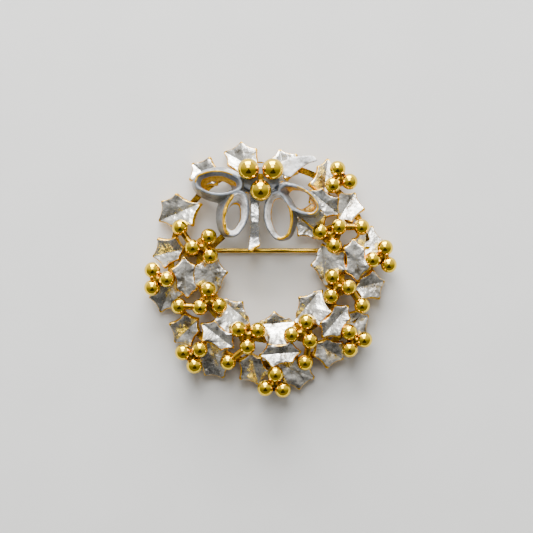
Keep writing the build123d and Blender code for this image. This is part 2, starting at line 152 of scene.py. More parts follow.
def mix_colours(tree, share, first, second):
    """A colour between two, each of them a plain colour or the output of a node."""
    ends = [(*end, 1) if isinstance(end, tuple) else end for end in (first, second)]
    inputs = {mix_share: share, mix_first: ends[0], mix_second: ends[1]}
    return add_node(tree, "ShaderNodeMix", inputs, data_type="RGBA")[mix_result]


def add_bump(tree, shader, height, depth_mm, strength):
    """Small unevenness of the surface, depth_mm deep."""
    inputs = {"Height": height, "Distance": depth_mm * MM, "Strength": strength}
    set_inputs(tree, shader, {"Normal": add_node(tree, "ShaderNodeBump", inputs)["Normal"]})


print("helpers ready: noise, spread, maths, colours and bump")

# %% [markdown]
# ## Polished gold of the berries
# The plated berries are almost mirrors of a full yellow. A plain metal with no roughness would
# do for one ball, but forty-five of them would look stamped out. Soft clouds change the tone
# and the shine by a little, and a faint relief breaks the reflections.

# %% Polished gold
middle_part = (0.3, 0.7)


def gold_finish(tree, shader, tone, colours, grain, roughness, relief, depth_mm, strength):
    """Gold whose colour follows tone, whose roughness follows grain, with a relief."""
    shine = spread(tree, grain, *middle_part, *roughness)
    colour = mix_colours(tree, tone, *colours)
    set_inputs(tree, shader, {"Metallic": 1.0, "Base Color": colour, "Roughness": shine})
    add_bump(tree, shader, relief, depth_mm, strength)


polished_gold, tree, shader, place = new_material("polished gold")
cloud = noise_node(tree, place, size_mm=1.6)
gold_finish(
    tree, shader,
    tone=spread(tree, cloud, *middle_part),
    colours=((0.9, 0.59, 0.02), (0.93, 0.64, 0.035)),
    grain=cloud, roughness=(0.03, 0.08),
    relief=noise_node(tree, place, size_mm=0.7), depth_mm=0.02, strength=0.25,
)
print("made", polished_gold.name)

# %% [markdown]
# ## Cast gold of the twigs
# The twigs and stalks come rough from the mould, bright on what stands out and nearly brown in
# the depths, where shade falls. The Ambient Occlusion node could find the depths, but it slows
# the render. A cloudy tone from bright gold to dark brown gives the same look on work as small
# as this: its dark end is painted shade, laid at random rather than in the depths.

# %% Cast gold
cast_gold, tree, shader, place = new_material("cast gold")
grain = noise_node(tree, place, size_mm=0.35, detail=6.0)
cloud = noise_node(tree, place, size_mm=2.2)
gold_finish(
    tree, shader,
    tone=spread(tree, cloud, low=0.35, high=0.65),
    # Its dark brown end is painted shade of the depths, laid by the clouds at random.
    colours=((0.09, 0.04, 0.003), (0.72, 0.4, 0.025)),
    grain=grain, roughness=(0.2, 0.42),
    relief=grain, depth_mm=0.06, strength=0.6,
)
print("made", cast_gold.name)

# %% [markdown]
# ## Drawn wire of the pin
# The pin's stem is wire that was pulled through a plate, so it has fine lines along its length.
# They could be cut into the mesh, but they are far finer than its faces. Noise that is
# stretched along X, the way the stem lies, draws them.

# %% Drawn wire gold
along_the_stem = (0.04, 1, 1)

pin_gold, tree, shader, place = new_material("drawn wire gold")
lines = noise_node(tree, place, size_mm=0.25, detail=4.0, stretch=along_the_stem)
gold_finish(
    tree, shader,
    tone=spread(tree, lines, *middle_part),
    colours=((0.38, 0.23, 0.02), (0.65, 0.42, 0.04)),
    grain=lines, roughness=(0.16, 0.34),
    relief=lines, depth_mm=0.02, strength=0.4,
)
print("made", pin_gold.name)

# %% [markdown]
# ## Where silver turns gold
# On the real brooch the silver lies over gold and stops in a ragged line near every edge. The
# gold rim could be a piece of its own, but it would have to be fitted to each leaf. Here each
# mesh carries an attribute called gold, from 0 on its faces to 1 on its edges. The material
# crosses over halfway, and noise makes that line ragged.

# %% Share of gold
noise_middle = 0.5
ragged_mm = 0.6
ragged_share = 0.5
cross_start = 0.4
cross_end = 0.6


def gold_share_of(tree, place):
    """How golden the surface is, from the attribute gold and noise."""
    edge = add_node(tree, "ShaderNodeAttribute", {}, attribute_name="gold")["Fac"]
    ragged = noise_node(tree, place, ragged_mm, detail=5.0)
    swing = maths(tree, "MULTIPLY", maths(tree, "SUBTRACT", ragged, noise_middle), ragged_share)
    return spread(tree, maths(tree, "ADD", edge, swing), cross_start, cross_end)


print("gold starts", cross_start, "and is full at", cross_end)

# %% [markdown]
# ## Silver with dark pits
# The silver is pale where it is rubbed, dark in its pits and in broad patches, and hammered all
# over. Every pit could be modelled, at the cost of a very fine mesh. One material does it
# instead: small noise for the pits, large noise for the patches, and bumps from a third noise
# with the pits on top.

# %% Silver that turns gold at its edges
pit_mm = 0.5
patch_mm = 2.6
hammer_mm = 1.3
pit_wear = 0.55
pit_relief = 0.22
wear_part = (0.55, 0.85)
pit_part = (0.35, 0.65)
pit_roughness = 0.16
hammer_strength = 0.8
edge_gold = ((0.62, 0.32, 0.01), (1.0, 0.6, 0.03))


def two_tone(name, pale, dark, smooth, hammer_depth_mm, metal):
    """Silver faces with dark pits that turn gold where the attribute gold rises."""
    material, tree, shader, place = new_material(name)
    gold_share = gold_share_of(tree, place)
    pits = noise_node(tree, place, pit_mm, detail=4.0)
    patches = noise_node(tree, place, patch_mm, detail=2.0)
    wear = maths(tree, "ADD", patches, maths(tree, "MULTIPLY", pits, pit_wear))
    silver = mix_colours(tree, spread(tree, wear, *wear_part), dark, pale)
    gold = mix_colours(tree, spread(tree, pits, *pit_part), *edge_gold)
    set_inputs(tree, shader, {
        "Metallic": spread(tree, gold_share, 0.0, 1.0, to_low=metal, to_high=1.0),
        "Base Color": mix_colours(tree, gold_share, silver, gold),
        "Roughness": spread(tree, pits, *middle_part, smooth + pit_roughness, smooth),
    })
    blows = noise_node(tree, place, hammer_mm, detail=2.0)
    hammered = maths(tree, "ADD", blows, maths(tree, "MULTIPLY", pits, pit_relief))
    add_bump(tree, shader, hammered, hammer_depth_mm, hammer_strength)
    return material


print("pits of", pit_mm, "mm on patches of", patch_mm, "mm")

# %% [markdown]
# ## Four silvers
# The leaves are hammered metal. The ribbon of the bow is a duller blue grey outside and bright
# on the hanging tail. Inside its lower loops and on its right tail it is a plain white that is
# not metallic, a painted highlight standing in for silver that catches the light there. Four
# separate materials could be built, but they differ only in tone, in shine, in depth and in how
# metallic they are, so the same function makes them all.

# %% Silver finishes
leaf_silver = two_tone(
    "hammered silver", pale=(0.86, 0.84, 0.78), dark=(0.17, 0.15, 0.115),
    smooth=0.23, hammer_depth_mm=0.26, metal=1.0,
)
bow_silver = two_tone(
    "satin silver", pale=(0.27, 0.295, 0.33), dark=(0.15, 0.16, 0.18),
    smooth=0.34, hammer_depth_mm=0.06, metal=0.45,
)
# A plain white that is not metallic: painted highlight for the lower loops' inner walls and the
# right tail.
painted_light_silver = two_tone(
    "rubbed silver", pale=(1.0, 1.0, 1.0), dark=(0.24, 0.23, 0.21),
    smooth=0.22, hammer_depth_mm=0.25, metal=0.0,
)
tail_silver = two_tone(
    "bright silver", pale=(1.0, 1.0, 0.98), dark=(0.42, 0.41, 0.38),
    smooth=0.2, hammer_depth_mm=0.16, metal=0.85,
)
print("made", leaf_silver.name, bow_silver.name, painted_light_silver.name, tail_silver.name)

# %% [markdown]
# ## The pattern of the wreath
# One sprig of four leaves is repeated eight times round the real ring, and every leaf then
# differs from the pattern by a little. Each leaf could be placed by hand, but a table of small
# differences keeps the pattern in one place. These are the sizes of the solids, in millimetres,
# because the dressed leaves have to lie on the solid ones.

# %% Rings of the wreath
inner_ring_radius = 12.35
outer_ring_radius = 19.2
ring_height = 3.2
print("twig rings of radius", inner_ring_radius, "and", outer_ring_radius, "mm")

# %% [markdown]
# ## Four kinds of leaf
# A sprig has a top leaf over its others, one that reaches into the ring, one on the rim and a
# low one beside it. Their outlines could be read from the solid's mesh, but a few corners in
# shares of width and length are easier to understand and to change.

# %% Kinds of leaf
leaf_outlines = {
    "top": [(0.0, 0.5), (-0.44, 0.27), (-0.44, -0.24), (0.0, -0.5), (0.56, -0.2), (0.4, 0.25)],
    "inner": [
        (0.0, 0.5), (-0.13, 0.34), (-0.42, 0.05), (-0.13, -0.22),
        (0.0, -0.5), (0.8, -0.12), (0.8, 0.28),
    ],
    "rim": [(0.0, 0.5), (-0.47, 0.18), (-0.29, -0.28), (0.0, -0.5), (0.41, -0.38), (0.53, 0.17)],
    "low": [(0.0, 0.5), (-0.27, 0.24), (-0.54, -0.19), (0.0, -0.5), (0.48, -0.09), (0.46, 0.25)],
}
# Length and width in mm.
leaf_sizes = {"top": (8.5, 4.75), "inner": (9.65, 6.15), "rim": (6.9, 6.25), "low": (9.6, 7.0)}
# The middle's place in its sprig: outwards, sideways and upwards in mm.
leaf_seats = {
    "top": (inner_ring_radius + 4.05, 0.3, ring_height + 2.2),
    "inner": (inner_ring_radius - 1.75, -0.5, ring_height + 0.4),
    "rim": (outer_ring_radius - 0.2, -4.7, ring_height - 0.1),
    "low": (outer_ring_radius + 0.8, 3.0, ring_height - 0.5),
}
# Heading, pitch and roll in degrees.
leaf_turns = {
    "top": (0, 0, 0),
    "inner": (0, 0, -8.0),
    "rim": (-81.6, -18.0, 0),
    "low": (-27.1, -16.0, 14.0),
}
for kind, (length, width) in leaf_sizes.items():
    print(kind, "leaf", length, "by", width, "mm,", len(leaf_outlines[kind]), "spines")

# %% [markdown]
# ## Twenty-eight leaves
# Behind the bow only leaves of the rim show, so the last two sprigs have two leaves each. The
# small differences between leaves could be drawn at random, but then they wouldn't follow the
# real ones. Each row gives what was measured for one leaf.

# %% Table of the leaves
# Sprig, kind, outwards, sideways and upwards as shares of the length, turn, share of size.
leaf_rows = [
    (0, "top", 0, 0, 0, 0, 1.06),
    (0, "inner", 0, 0, 0, 0, 1.0),
    (0, "rim", 0.06, 0, 0, 0, 1.04),
    (0, "low", 0, 0, 0, 0, 1.0),
    (1, "top", 0, 0.02, 0, 3, 1.04),
    (1, "inner", 0, 0, 0, 0, 1.0),
    (1, "rim", 0.1, 0, 0, -14, 1.06),
    (1, "low", 0, 0, 0, 0, 1.02),
    (2, "top", 0, 0.02, 0, 0, 1.06),
    (2, "inner", 0, 0, 0, 0, 1.0),
    (2, "rim", 0, 0, 0, 0, 1.04),
    (2, "low", -0.02, 0, 0, 0, 1.02),
    (3, "top", -0.04, 0, 0, 0, 1.06),
    (3, "inner", -0.06, -0.07, 0, 0, 1.0),
    (3, "rim", 0, 0, 0, 0, 1.03),
    (3, "low", -0.16, -0.13, 0, 0, 1.0),
    (4, "top", 0, 0, 0, 0, 1.1),
    (4, "inner", -0.05, 0, 0, 0, 1.0),
    (4, "rim", -0.02, 0, 0, 0, 1.0),
    (4, "low", -0.17, 0, 0, 0, 1.0),
    (5, "top", 0, 0, -0.06, 0, 1.0),
    (5, "inner", 0, 0, -0.04, 0, 1.0),
    (5, "rim", -0.03, 0.17, 0, 0, 1.04),
    (5, "low", 0, 0, 0, -28, 1.0),
    (6, "rim", 0.13, 0.09, -0.05, 0, 1.0),
    (6, "low", 0.08, 0.04, 0, -6, 1.06),
    (7, "rim", 0.37, -0.14, -0.05, -10, 1.04),
    (7, "low", 0.04, 0, 0, 0, 1.07),
]
print(len(leaf_rows), "leaves")

# %% [markdown]
# ## Where a leaf lies
# A leaf is set into its sprig, and the sprig into the ring. Blender could do this with parent
# objects, but a finished piece has to sit at the origin with its place in its mesh. So each
# step is a matrix, and their product places the points.

# %% Frames of sprigs and leaves
sprig_count = 8
first_sprig_angle = 184.8


def turned(angle_degrees, axis):
    """A turn about one axis."""
    return Matrix.Rotation(radians(angle_degrees), 4, axis)


def sprig_frame(sprig):
    """A sprig's own frame: X points outwards from the middle of the wreath."""
    return turned(first_sprig_angle + sprig * 360 / sprig_count, "Z")


def leaf_frame(sprig, kind, out, side, up, turn, size):
    """Where a leaf lies: Y runs along its fold to the tip, and Z out of its face."""
    length = size * leaf_sizes[kind][0]
    seat_out, seat_side, height = leaf_seats[kind]
    heading, pitch, roll = leaf_turns[kind]
    middle = Vector((seat_out + out * length, seat_side + side * length, height + up * length))
    tilt = turned(pitch, "X") @ turned(roll, "Y")
    return sprig_frame(sprig) @ Matrix.Translation(middle) @ turned(heading + turn, "Z") @ tilt


first_middle = leaf_frame(*leaf_rows[0]).translation
print("the first leaf's middle is at", [round(value, 2) for value in first_middle], "mm")

# %% [markdown]
# ## Outline of a leaf
# A holly leaf has blunt little spines with hollow edges between them. The outline could be a
# curve object that is filled, but its rows of faces wouldn't follow the edge. Here each hollow
# edge is an arc, and each spine is a small circle that touches the arcs on both its sides.

# %% Arc and spine
edge_hollow = 0.14
spine_round = 0.3


def edge_arc(start, end):
    """Centre and radius of the hollow edge between two spines. The centre is outside."""
    along = end - start
    chord = np.hypot(*along)
    hollow = edge_hollow * chord
    radius = (chord**2 / 4 + hollow**2) / (2 * hollow)
    outward = np.array((along[1], -along[0])) / chord
    return (start + end) / 2 + outward * (radius - hollow), radius


def round_centre(first, second, spine):
    """Centre of the circle that rounds a spine, where two hollow edges meet."""
    (middle_1, radius_1), (middle_2, radius_2) = first, second
    reach_1 = radius_1 + spine_round
    reach_2 = radius_2 + spine_round
    apart = middle_2 - middle_1
    distance = np.hypot(*apart)
    along = (reach_1**2 - reach_2**2 + distance**2) / (2 * distance)
    across = np.sqrt(reach_1**2 - along**2)
    unit = apart / distance
    aside = np.array((-unit[1], unit[0]))
    both = [middle_1 + unit * along + aside * across * sign for sign in (-1, 1)]
    return min(both, key=lambda centre: np.hypot(*(centre - spine)))


print("edges are", edge_hollow, "of their chord deep, spines are rounded by", spine_round, "mm")

# %% [markdown]
# ## From corners to an outline
# The real leaves differ in size more than in form. Each could have its own drawing, but one
# set of corners for each kind, scaled before the arcs are laid, keeps the spines equally blunt
# on small and large leaves. The arcs get more steps than the spines, being longer.

# %% Outline from its corners
arc_steps = 14
spine_steps = 5


def arc_points(centre, start, end, steps):
    """Points from start up to, but without, end on an arc round a centre."""
    first = start - centre
    last = end - centre
    angle = np.arctan2(first[0] * last[1] - first[1] * last[0], first @ last)
    points = []
    for turn in angle * np.arange(steps) / steps:
        c, s = np.cos(turn), np.sin(turn)
        points.append(centre + (c * first[0] - s * first[1], s * first[0] + c * first[1]))
    return points


def touch(centre, middle):
    """Where the small circle of a spine meets the hollow edge round a middle."""
    return centre + (middle - centre) * spine_round / np.hypot(*(middle - centre))


def leaf_contour(kind, size):
    """The leaf's outline with blunt spines, counter-clockwise from the tip."""
    length, width = (size * measure for measure in leaf_sizes[kind])
    corners = np.array(leaf_outlines[kind]) * (width, length)
    count = len(corners)
    edges = [edge_arc(corners[i], corners[(i + 1) % count]) for i in range(count)]
    rounds = [round_centre(edges[i - 1], edges[i], corners[i]) for i in range(count)]
    contour = []
    for i, (middle, _) in enumerate(edges):
        before, _ = edges[i - 1]
        ahead = rounds[(i + 1) % count]
        leave = touch(rounds[i], middle)
        contour += arc_points(rounds[i], touch(rounds[i], before), leave, spine_steps)
        contour += arc_points(middle, leave, touch(ahead, middle), arc_steps)
    return np.array(contour)


for kind in leaf_outlines:
    print(kind, "outline has", len(leaf_contour(kind, 1.0)), "points")

# %% [markdown]
# ## Face of a leaf
# The face is folded along its middle, swells a little on both sides of the fold, and is dented
# by hammering. A subdivided grid could be cut to shape, but its edge would be stepped. Rings
# that shrink from the outline to the middle follow the edge, lie close together where the
# corner is rounded, and know how far they are from the edge, which settles where the gold is.

# %% Face of a leaf
fold_degrees = 16.0
skin = 0.06
corner = 0.2
swell = 0.12
gold_reach = 0.24
gold_start = 1.25
spine_gold = 2.2
not_zero = 0.001
ring_shares = [1.0, 0.985, 0.965, 0.94, 0.9, 0.85, 0.79, 0.72, 0.64, 0.55, 0.45, 0.34, 0.22, 0.1]
fold_slope = tan(radians(fold_degrees))


def grown(contour, by_mm):
    """The outline moved outwards from the leaf's middle."""
    return contour * (1 + by_mm / np.hypot(*contour.T)[:, None])


def smooth_face(contour):
    """Rings of points from the edge inwards, and how golden each point is."""
    on_spine = np.arange(len(contour)) % (spine_steps + arc_steps) < spine_steps
    golden = gold_reach * np.where(on_spine, spine_gold, 1.0)
    rings = []
    gold = []
    for share in ring_shares:
        flat = grown(contour, skin) * share
        inside = (1 - share) * np.hypot(*contour.T)
        drop = corner * np.clip(1 - inside / corner, 0, 1) ** 2
        from_fold = np.abs(flat[:, 0])
        rise = 2 * swell * from_fold * inside / (from_fold + inside + not_zero)
        rings.append(np.column_stack((flat, from_fold * fold_slope + skin - drop + rise)))
        gold.append(np.clip(gold_start - inside / golden, 0, 1))
    return np.concatenate(rings), np.concatenate(gold)


sample_points, sample_gold = smooth_face(leaf_contour("top", 1.0))
print("a face has", len(sample_points), "points,", int((sample_gold > 0.5).sum()), "of them gold")

# %% [markdown]
# ## Hammer marks
# The real faces are beaten, so that each shows a few broad dents and many small ones. Sculpting
# would do it leaf by leaf. Here noise moves the points, and every leaf reads it at another
# height, so no two are alike. The dents stop before they reach the solid leaf underneath.

# %% Hammer marks
leaf_dents = ((0.6, 0.17), (1.5, 0.07))
leaf_apart = 7.3
dent_lift = 0.04
deepest_dent = -0.03


def waves(spot, marks):
    """Height in mm at a spot, the sum of noise waves, each with a pitch and a depth."""
    return sum(noise.noise(spot * pitch) * depth for pitch, depth in marks)


def hammer(points, number):
    """Dents the face of leaf number, whose points are changed in place."""
    for point in points:
        spot = Vector((point[0], point[1], number * leaf_apart))
        point[2] += max(waves(spot, leaf_dents) + dent_lift, deepest_dent)


before_hammering = sample_points[:, 2].copy()
hammer(sample_points, 0)
print("dents up to", round(float(np.abs(sample_points[:, 2] - before_hammering).max()), 2), "mm")

# %% [markdown]
# ## Edge and back of a leaf
# A cast leaf is a plate, so its edge is a wall, and its back is plain. The Solidify modifier
# gives walls that stand square to the face. These spread a little downwards instead, as a
# casting has to in order to leave its mould, and so their gold shows from above.

# %% Edge and back of a leaf
leaf_thickness = 0.9
flare = 0.1
wall_drop = 0.35
wall_foot = 0.15
back_shares = [0.93, 0.6, 0.25]


def wall_and_back(contour):
    """Rings of points from the top of the wall down and under the leaf."""
    flared = grown(contour, skin + flare)
    top_height = np.abs(grown(contour, skin)[:, 0]) * fold_slope + skin - corner - wall_drop
    rings = [np.column_stack((flared, top_height))]
    under = [(grown(contour, skin) * share, 0.0) for share in back_shares]
    for flat, lift in [(flared, wall_foot)] + under:
        height = np.abs(flat[:, 0]) * fold_slope - leaf_thickness - skin + lift
        rings.append(np.column_stack((flat, height)))
    return np.concatenate(rings)


print("a wall and back have", len(wall_and_back(leaf_contour("top", 1.0))), "points")

# %% [markdown]
# ## A leaf's faces
# Its points are rings, so its faces are bands between two rings, closed by a fan at each
# middle. A bridge tool could find them, but when they are counted out their order never
# changes, and every one is sure to point outwards.

# %% Faces of a leaf
def band(first, second, count, facing_up):
    """Faces between two rings of count points, given by the first point of each."""
    faces = []
    for i in range(count):
        j = (i + 1) % count
        if facing_up:
            faces.append((first + i, first + j, second + j, second + i))
        else:
            faces.append((first + i, second + i, second + j, first + j))
    return faces


def leaf_faces(count):
    """Faces of a leaf: its face, its wall, its back and the fans at both middles."""
    tops = len(ring_shares)
    rings = tops + 2 + len(back_shares)
    faces = []
    for ring in range(tops - 1):
        faces += band(ring * count, (ring + 1) * count, count, True)
    faces += band(0, tops * count, count, False)
    for ring in range(tops, rings - 1):
        faces += band(ring * count, (ring + 1) * count, count, False)
    innermost = (tops - 1) * count
    last = (rings - 1) * count
    face_middle = rings * count
    for i in range(count):
        j = (i + 1) % count
        faces.append((innermost + i, innermost + j, face_middle))
        faces.append((last + j, last + i, face_middle + 1))
    return faces


print("a leaf has", len(leaf_faces(len(leaf_contour("top", 1.0)))), "faces")

# %% [markdown]
# ## One leaf in its place
# The face, the wall and the back are one closed shell. It could be set in place by moving its
# object, but the model is handed on with every object at the origin, and then the pattern of
# its finish would slide. So the matrix of its seat is applied to the points.

# %% One leaf in its place
def one_leaf(kind, size, place, number):
    """Points in mm, faces, and the gold share of each point."""
    contour = leaf_contour(kind, size)
    face, face_gold = smooth_face(contour)
    hammer(face, number)
    lower = wall_and_back(contour)
    middles = [[0, 0, skin], [0, 0, -leaf_thickness - skin]]
    points = np.concatenate((face, lower, middles))
    gold = np.concatenate((face_gold, np.ones(len(lower)), [0, 1]))
    placed = [tuple(place @ Vector(point)) for point in points]
    return placed, leaf_faces(len(contour)), gold


sample_leaf = one_leaf("top", 1.0, Matrix.Identity(4), 0)
print("a leaf has", len(sample_leaf[0]), "points and", len(sample_leaf[1]), "faces")

# %% [markdown]
# ## All leaves
# In the real casting the leaves are one with the ring. One object for each leaf would make a
# long list, and a single object for all would be hard to look into. One piece for each kind is
# between the two: the four share one finish, and each can be hidden to see what is below it.

# %% All leaves, one piece for each kind
def gold_edged_piece(name, points_mm, faces, material, gold):
    """A smooth mesh piece at the origin, with the attribute gold on its points."""
    mesh = bpy.data.meshes.new(name)
    mesh.from_pydata([tuple(MM * value for value in point) for point in points_mm], [], faces)
    layer = mesh.attributes.new("gold", "FLOAT", "POINT")
    layer.data.foreach_set("value", np.asarray(gold, dtype=np.float32))
    mesh.materials.append(material)
    mesh.polygons.foreach_set("use_smooth", [True] * len(mesh.polygons))
    mesh.update()
    return new_object(name, mesh)


for kind in leaf_outlines:
    points, faces, gold = [], [], []
    for number, row in enumerate(leaf_rows):
        if row[1] != kind:
            continue
        leaf_points, new_faces, leaf_gold = one_leaf(kind, row[-1], leaf_frame(*row), number)
        faces += [tuple(len(points) + index for index in face) for face in new_faces]
        points += leaf_points
        gold += list(leaf_gold)
    piece = gold_edged_piece(f"{kind}_leaves", points, faces, leaf_silver, gold)
    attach(piece, "wreath")
    print(piece.name, "faces", len(piece.data.polygons))

# %% [markdown]
# ## Where the berries sit
# On the real brooch three berries stand round a stalk. The inner clusters have a fourth on a
# neck of its own, and those at the rim have none. Forty-two balls could be placed one by one,
# but a cluster with its own offset and turn needs one row for three or four of them.

# %% Tables of the berries
berry_diameter = 3.1

# Sprig, outwards as a share of a berry, swing and turn, then the single berry's two.
inner_cluster_rows = [
    (7, 0.03, -1.0, 44, -0.02, -1.3),
    (0, -0.04, 0.0, 30, -0.06, 0.4),
    (1, 0.03, -1.3, 37, 0.16, -1.3),
    (2, 0.09, -0.9, 36, 0.0, -1.6),
    (3, -0.04, 2.4, 37, -0.08, 1.3),
    (4, -0.02, 1.7, 40, 0.02, 2.8),
]
# Sprig, outwards as a share of a berry, swing and turn.
rim_cluster_rows = [
    (0, 0.0, 0.4, 54),
    (1, 0.19, -1.7, 51),
    (2, 0.09, -2.8, 50),
    (3, -0.22, -0.3, 43),
    (4, -0.1, 1.0, 68),
    (5, 0.0, 2.6, 53),
]
print(len(inner_cluster_rows), "inner clusters and", len(rim_cluster_rows), "rim clusters")

# %% [markdown]
# ## A cluster of three
# Each cluster has a stalk that rises from the twigs and branches to its berries. The stalks
# could be cylinders that are turned into place. It is simpler to note only their two ends
# here, as a tree of nodes can lay a round stalk along any line.

# %% Three berries round a stalk
berries_in_cluster = 3


def cluster_points(place, spread_mm, lean, turn, foot):
    """Three berries round a stalk, the stalk's foot and its top, in millimetres."""
    berries = []
    for spoke in range(berries_in_cluster):
        angle = radians(turn + spoke * 360 / berries_in_cluster)
        x = spread_mm * cos(angle)
        across = spread_mm * sin(angle)
        berries.append(place @ Vector((x * cos(radians(lean)), across, -x * sin(radians(lean)))))
    return berries, [place @ Vector((0, 0, foot)), place @ Vector((0, 0, 0))]


print("berries are", 360 / berries_in_cluster, "degrees apart round their stalk")

# %% [markdown]
# ## Clusters of the ring
# The inner clusters stand upright on the inner twigs, and the fourth berry sits on a neck that
# reaches the outer ring. Their places could be read off the solids' meshes. They are worked
# out from the sizes of the rings instead, as in the solids, which shows how they are meant.

# %% Inner clusters
cluster_radius = 2.15
inner_cluster_out = 1.05
inner_cluster_rise = 2.8
inner_cluster_swing = 22.8
inner_stalk_foot = -2.4
single_berry_swing = 17.0
single_berry_rise = 1.9

balls = []
stalks = []
for sprig, out, swing, turn, single_out, single_swing in inner_cluster_rows:
    radius = inner_ring_radius + inner_cluster_out + out * berry_diameter
    angle = inner_cluster_swing + swing
    seat = Matrix.Translation((radius, 0, ring_height + inner_cluster_rise))
    place = sprig_frame(sprig) @ turned(angle, "Z") @ seat
    three, stalk = cluster_points(place, cluster_radius, 0, turn - angle, inner_stalk_foot)
    reach = outer_ring_radius + single_out * berry_diameter
    single_seat = Vector((reach, 0, ring_height + single_berry_rise))
    single = sprig_frame(sprig) @ turned(single_berry_swing + single_swing, "Z") @ single_seat
    balls += three + [single]
    stalks += [stalk, [three[0], single]] + [[stalk[1], ball] for ball in three]
print(len(balls), "berries on the inner twigs")

# %% [markdown]
# ## Clusters of the rim and of the bow
# The rim's clusters lean outwards. The three large berries on the knot of the bow are the same
# cluster once more, only wider and higher. They could be modelled apart, but the same function
# gives them their stalk as well.

# %% Rim clusters and the bow's berries
rim_cluster_radius = 1.95
rim_cluster_out = 2.7
rim_cluster_rise = 1.8
rim_cluster_lean = 15.0
rim_stalk_foot = -2.0
bow_cluster_radius = 2.7
bow_cluster_turn = 30
bow_stalk_foot = -1.5
bow_stalk_top = 0.9
bow_cluster_middle = Vector((-1.9, 17.67, 9.0))

for sprig, out, swing, turn in rim_cluster_rows:
    radius = outer_ring_radius + rim_cluster_out + out * berry_diameter
    seat = Matrix.Translation((radius, 0, ring_height + rim_cluster_rise))
    place = sprig_frame(sprig) @ turned(swing, "Z") @ seat
    three, stalk = cluster_points(
        place, rim_cluster_radius, rim_cluster_lean, turn - swing, rim_stalk_foot
    )
    balls += three
    stalks += [stalk] + [[stalk[1], ball] for ball in three]

bow_balls, bow_stalk = cluster_points(
    Matrix.Translation(bow_cluster_middle), bow_cluster_radius, 0, bow_cluster_turn, bow_stalk_foot
)
bow_stalk[1] = bow_cluster_middle - Vector((0, 0, bow_stalk_top))
print(len(balls), "small berries,", len(bow_balls), "on the bow")

# %% [markdown]
# ## A tree of nodes with named inputs
# Berries are what this brooch repeats most. Copying a ball in a Python loop would work, but
# Geometry Nodes show the same steps as a picture that can be changed by hand. Each size gets a
# named input, so that one tree can serve small and large berries.

# %% Start a tree
def new_tree(name, inputs):
    """A geometry tree with named inputs, as the tree, its given values and its last node."""
    tree = bpy.data.node_groups.new(name, "GeometryNodeTree")
    tree.interface.new_socket("Geometry", in_out="INPUT", socket_type="NodeSocketGeometry")
    tree.interface.new_socket("Geometry", in_out="OUTPUT", socket_type="NodeSocketGeometry")
    for label, kind, value in inputs:
        socket = tree.interface.new_socket(label, in_out="INPUT", socket_type=kind)
        if value is not None:
            socket.default_value = value
    enter = tree.nodes.new("NodeGroupInput")
    leave = tree.nodes.new("NodeGroupOutput")
    return tree, enter.outputs, leave


def named_inputs(tree):
    """The names of a tree's inputs."""
    return [item.name for item in tree.interface.items_tree if item.in_out == "INPUT"]


print("a tree starts with its inputs and ends with its result")

# %% [markdown]
# ## Balls on points
# A real berry is a ball of 3.1 mm on its stalk. An instance of one sphere is put on each point
# of a cloud, and turned at random with a fixed seed, so that the poles of the spheres don't all
# look at the camera. The instances are then realized, so that each ball can be changed.

# %% Tree that puts a ball on each point
berry_radius = 1.56
any_turn = (pi, pi, pi)

ball_tree, given, ball_result = new_tree("berries on points", [
    ("Radius", "NodeSocketFloat", berry_radius * MM),
    ("Segments", "NodeSocketInt", 40),
    ("Rings", "NodeSocketInt", 24),
    ("Unevenness", "NodeSocketFloat", 0.03 * MM),
    ("Seed", "NodeSocketInt", 5),
    ("Finish", "NodeSocketMaterial", None),
])
sphere = {name: given[name] for name in ("Segments", "Rings", "Radius")}
ball = add_node(ball_tree, "GeometryNodeMeshUVSphere", sphere)["Mesh"]
random_turn = {"Max": any_turn, "Seed": given["Seed"]}
turn = add_node(
    ball_tree, "FunctionNodeRandomValue", random_turn, data_type="FLOAT_VECTOR"
)["Value"]
on_points = {"Points": given["Geometry"], "Instance": ball, "Rotation": turn}
instances = add_node(ball_tree, "GeometryNodeInstanceOnPoints", on_points)["Instances"]
realized = {"Geometry": instances}
real_balls = add_node(ball_tree, "GeometryNodeRealizeInstances", realized)["Geometry"]
print("inputs of the ball tree:", named_inputs(ball_tree))

# %% [markdown]
# ## Uneven balls
# Cast and polished balls are never perfect, and a perfect mirror ball looks false. A bump in
# the material would change the reflections but not the outline. Moving each point along its
# normal by a little noise changes both, and it stays in the mesh.

# %% End of the ball tree
ball_dent_mm = 2.2

dents = add_node(ball_tree, "ShaderNodeTexNoise", {"Scale": 1 / (ball_dent_mm * MM)})["Fac"]
centred = maths(ball_tree, "SUBTRACT", dents, noise_middle)
depth = maths(ball_tree, "MULTIPLY", centred, given["Unevenness"])
normal = add_node(ball_tree, "GeometryNodeInputNormal", {})["Normal"]
push = {"Vector": normal, "Scale": depth}
offset = add_node(ball_tree, "ShaderNodeVectorMath", push, operation="SCALE")["Vector"]
moved = {"Geometry": real_balls, "Offset": offset}
uneven = add_node(ball_tree, "GeometryNodeSetPosition", moved)["Geometry"]
smooth = add_node(ball_tree, "GeometryNodeSetShadeSmooth", {"Geometry": uneven})["Geometry"]
finish = {"Geometry": smooth, "Material": given["Finish"]}
dressed = add_node(ball_tree, "GeometryNodeSetMaterial", finish)["Geometry"]
set_inputs(ball_tree, ball_result, {"Geometry": dressed})
print("the ball tree has", len(ball_tree.nodes), "nodes")

# %% [markdown]
# ## Stalks along edges
# The stalks are short rods from the twigs to the berries. The Skin modifier makes such rods too,
# but it swells where they meet. This tree turns each edge into a curve and sweeps a circle
# along it, which keeps them straight and round.

